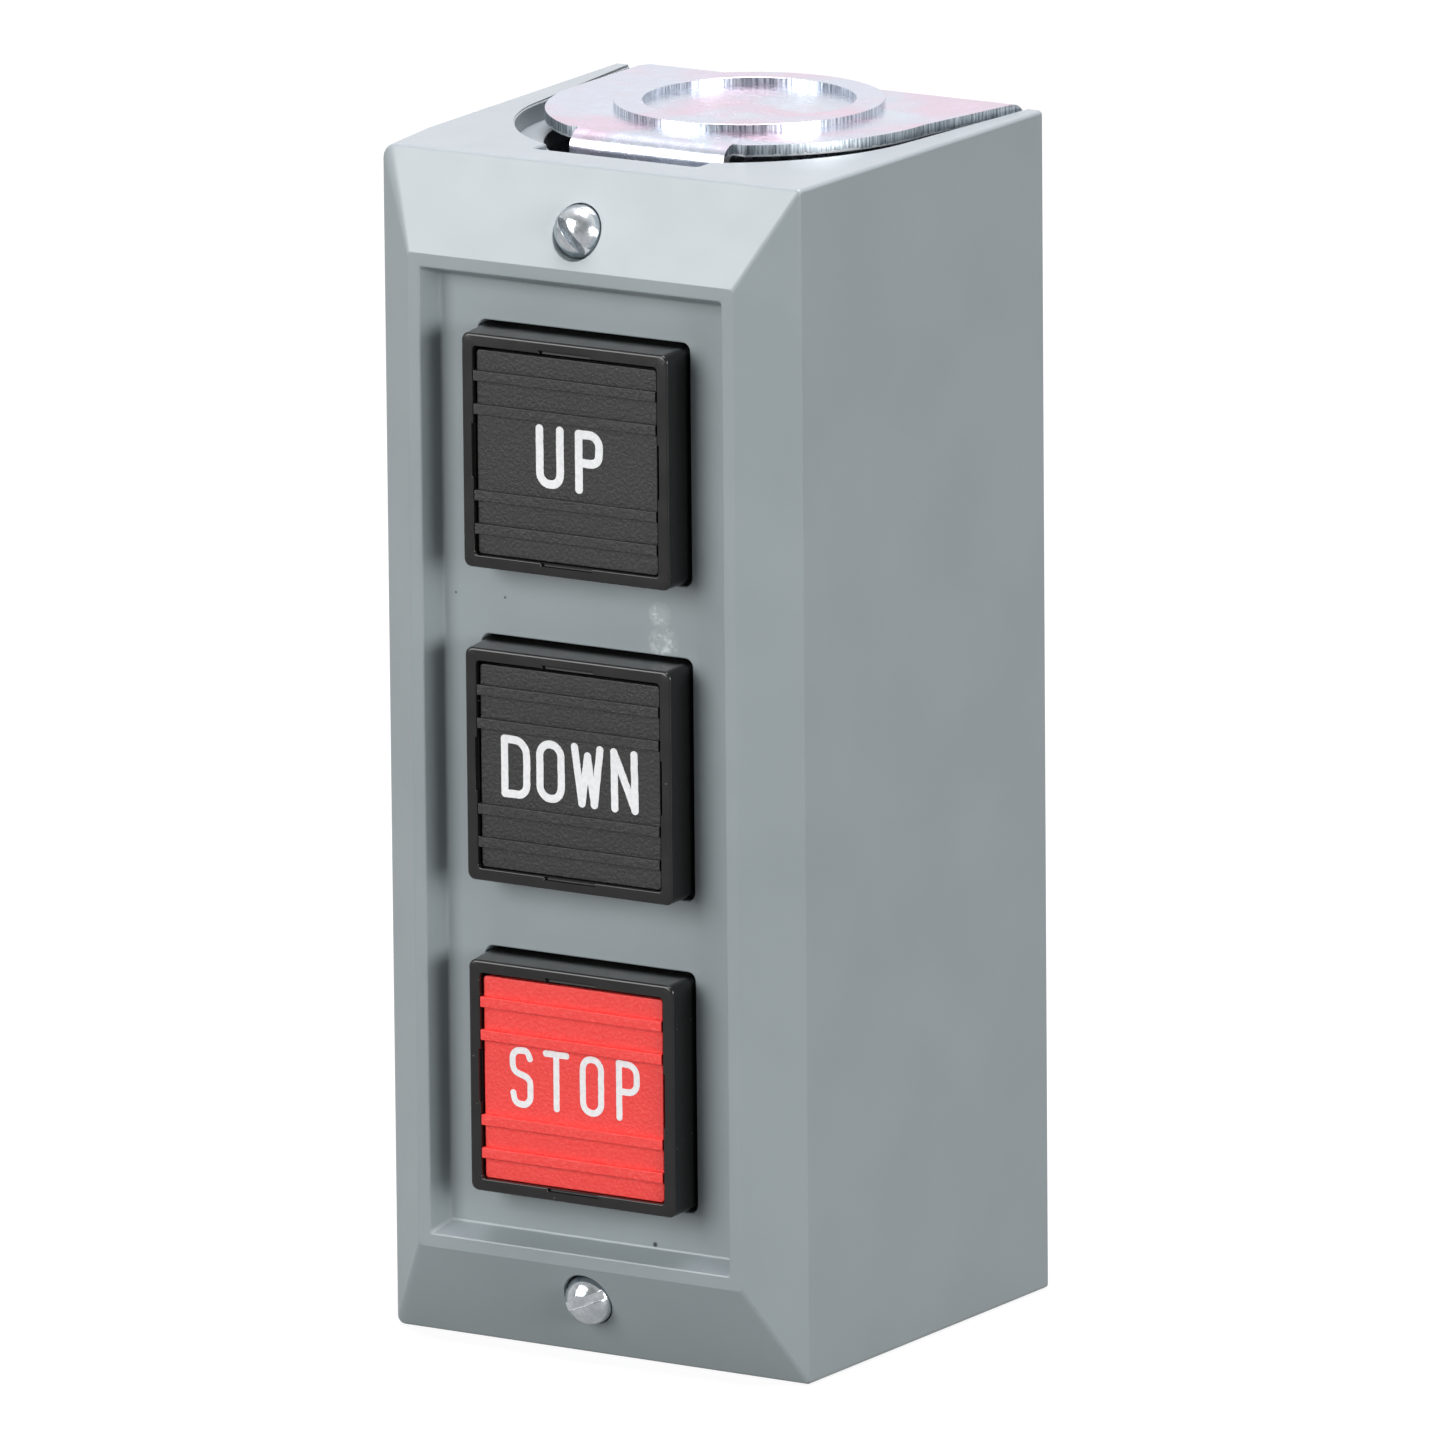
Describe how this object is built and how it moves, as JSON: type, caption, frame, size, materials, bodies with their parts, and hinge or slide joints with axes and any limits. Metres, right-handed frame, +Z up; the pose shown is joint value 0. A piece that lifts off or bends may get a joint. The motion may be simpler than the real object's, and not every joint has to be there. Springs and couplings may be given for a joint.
{
  "type": "pendant control station",
  "caption": "Push-button pendant control station: a moulded cover with a sloping border over a bent steel back plate, with square spring-return buttons in a column for up, down and stop.",
  "frame": {"origin": "centre of the footprint, on the surface that the station stands on", "axes": "+Z up the column of buttons, -Y out of the button faces, +X to the right when the buttons are seen from the front"},
  "size_m": [0.0522, 0.052, 0.1274],
  "materials": {
    "grey_plastic": "satin moulded grey",
    "zinc_plated_steel": "bright zinc plate, faint iridescence",
    "screw_zinc": "bright zinc plate",
    "green_steel": "green dyed zinc plate",
    "black_plastic": "satin moulded black",
    "red_plastic": "matte moulded red",
    "natural_nylon": "natural nylon",
    "spring_steel": "drawn spring wire",
    "brass": "stamped brass",
    "phenolic": "dark phenolic moulding"
  },
  "bodies": {
    "root": {"cover": "grey_plastic", "back_plate": "zinc_plated_steel", "cover_screw_top": "screw_zinc", "cover_screw_bottom": "screw_zinc", "ground_screw": "green_steel", "up_terminal_left": "brass", "up_terminal_screw_left": "screw_zinc", "up_block_screw_left": "screw_zinc", "up_terminal_right": "brass", "up_terminal_screw_right": "screw_zinc", "up_block_screw_right": "screw_zinc", "up_return_spring": "spring_steel", "up_contact_block": "phenolic", "down_terminal_left": "brass", "down_terminal_screw_left": "screw_zinc", "down_block_screw_left": "screw_zinc", "down_terminal_right": "brass", "down_terminal_screw_right": "screw_zinc", "down_block_screw_right": "screw_zinc", "down_return_spring": "spring_steel", "down_contact_block": "phenolic", "stop_terminal_left": "brass", "stop_terminal_screw_left": "screw_zinc", "stop_block_screw_left": "screw_zinc", "stop_terminal_right": "brass", "stop_terminal_screw_right": "screw_zinc", "stop_block_screw_right": "screw_zinc", "stop_return_spring": "spring_steel", "stop_contact_block": "phenolic"},
    "up_button": {"up_cap": "black_plastic", "up_legend": "black_plastic", "up_plunger": "natural_nylon"},
    "up_bridge": {"up_bridge": "brass", "up_contact_spring": "spring_steel"},
    "down_button": {"down_cap": "black_plastic", "down_legend": "black_plastic", "down_plunger": "natural_nylon"},
    "down_bridge": {"down_bridge": "brass", "down_contact_spring": "spring_steel"},
    "stop_button": {"stop_cap": "black_plastic", "stop_legend": "red_plastic", "stop_plunger": "natural_nylon"},
    "stop_bridge": {"stop_bridge": "brass", "stop_contact_spring": "spring_steel"}
  },
  "joints": [
    {"name": "up_press", "type": "slide", "parent": "root", "child": "up_button", "axis": [0, 1, 0], "range_m": [0, 0.0032], "stiffness_N_per_m": 800, "springref_m": -0.002, "deforming": ["up_return_spring"]},
    {"name": "up_bridge_slide", "type": "slide", "parent": "root", "child": "up_bridge", "axis": [0, 1, 0], "range_m": [0, 0.0026], "deforming": ["up_contact_spring"]},
    {"name": "down_press", "type": "slide", "parent": "root", "child": "down_button", "axis": [0, 1, 0], "range_m": [0, 0.0032], "stiffness_N_per_m": 800, "springref_m": -0.002, "deforming": ["down_return_spring"]},
    {"name": "down_bridge_slide", "type": "slide", "parent": "root", "child": "down_bridge", "axis": [0, 1, 0], "range_m": [0, 0.0026], "deforming": ["down_contact_spring"]},
    {"name": "stop_press", "type": "slide", "parent": "root", "child": "stop_button", "axis": [0, 1, 0], "range_m": [0, 0.0032], "stiffness_N_per_m": 800, "springref_m": -0.002, "deforming": ["stop_return_spring"]},
    {"name": "stop_bridge_slide", "type": "slide", "parent": "root", "child": "stop_bridge", "axis": [0, 1, 0], "range_m": [0, 0.0026], "deforming": ["stop_contact_spring"]}
  ],
  "couplings": [
    {"joint": "up_bridge_slide", "follows": "up_press", "ratio": 0.5},
    {"joint": "down_bridge_slide", "follows": "down_press", "ratio": 0.5},
    {"joint": "stop_bridge_slide", "follows": "stop_press", "ratio": 0.72}
  ]
}
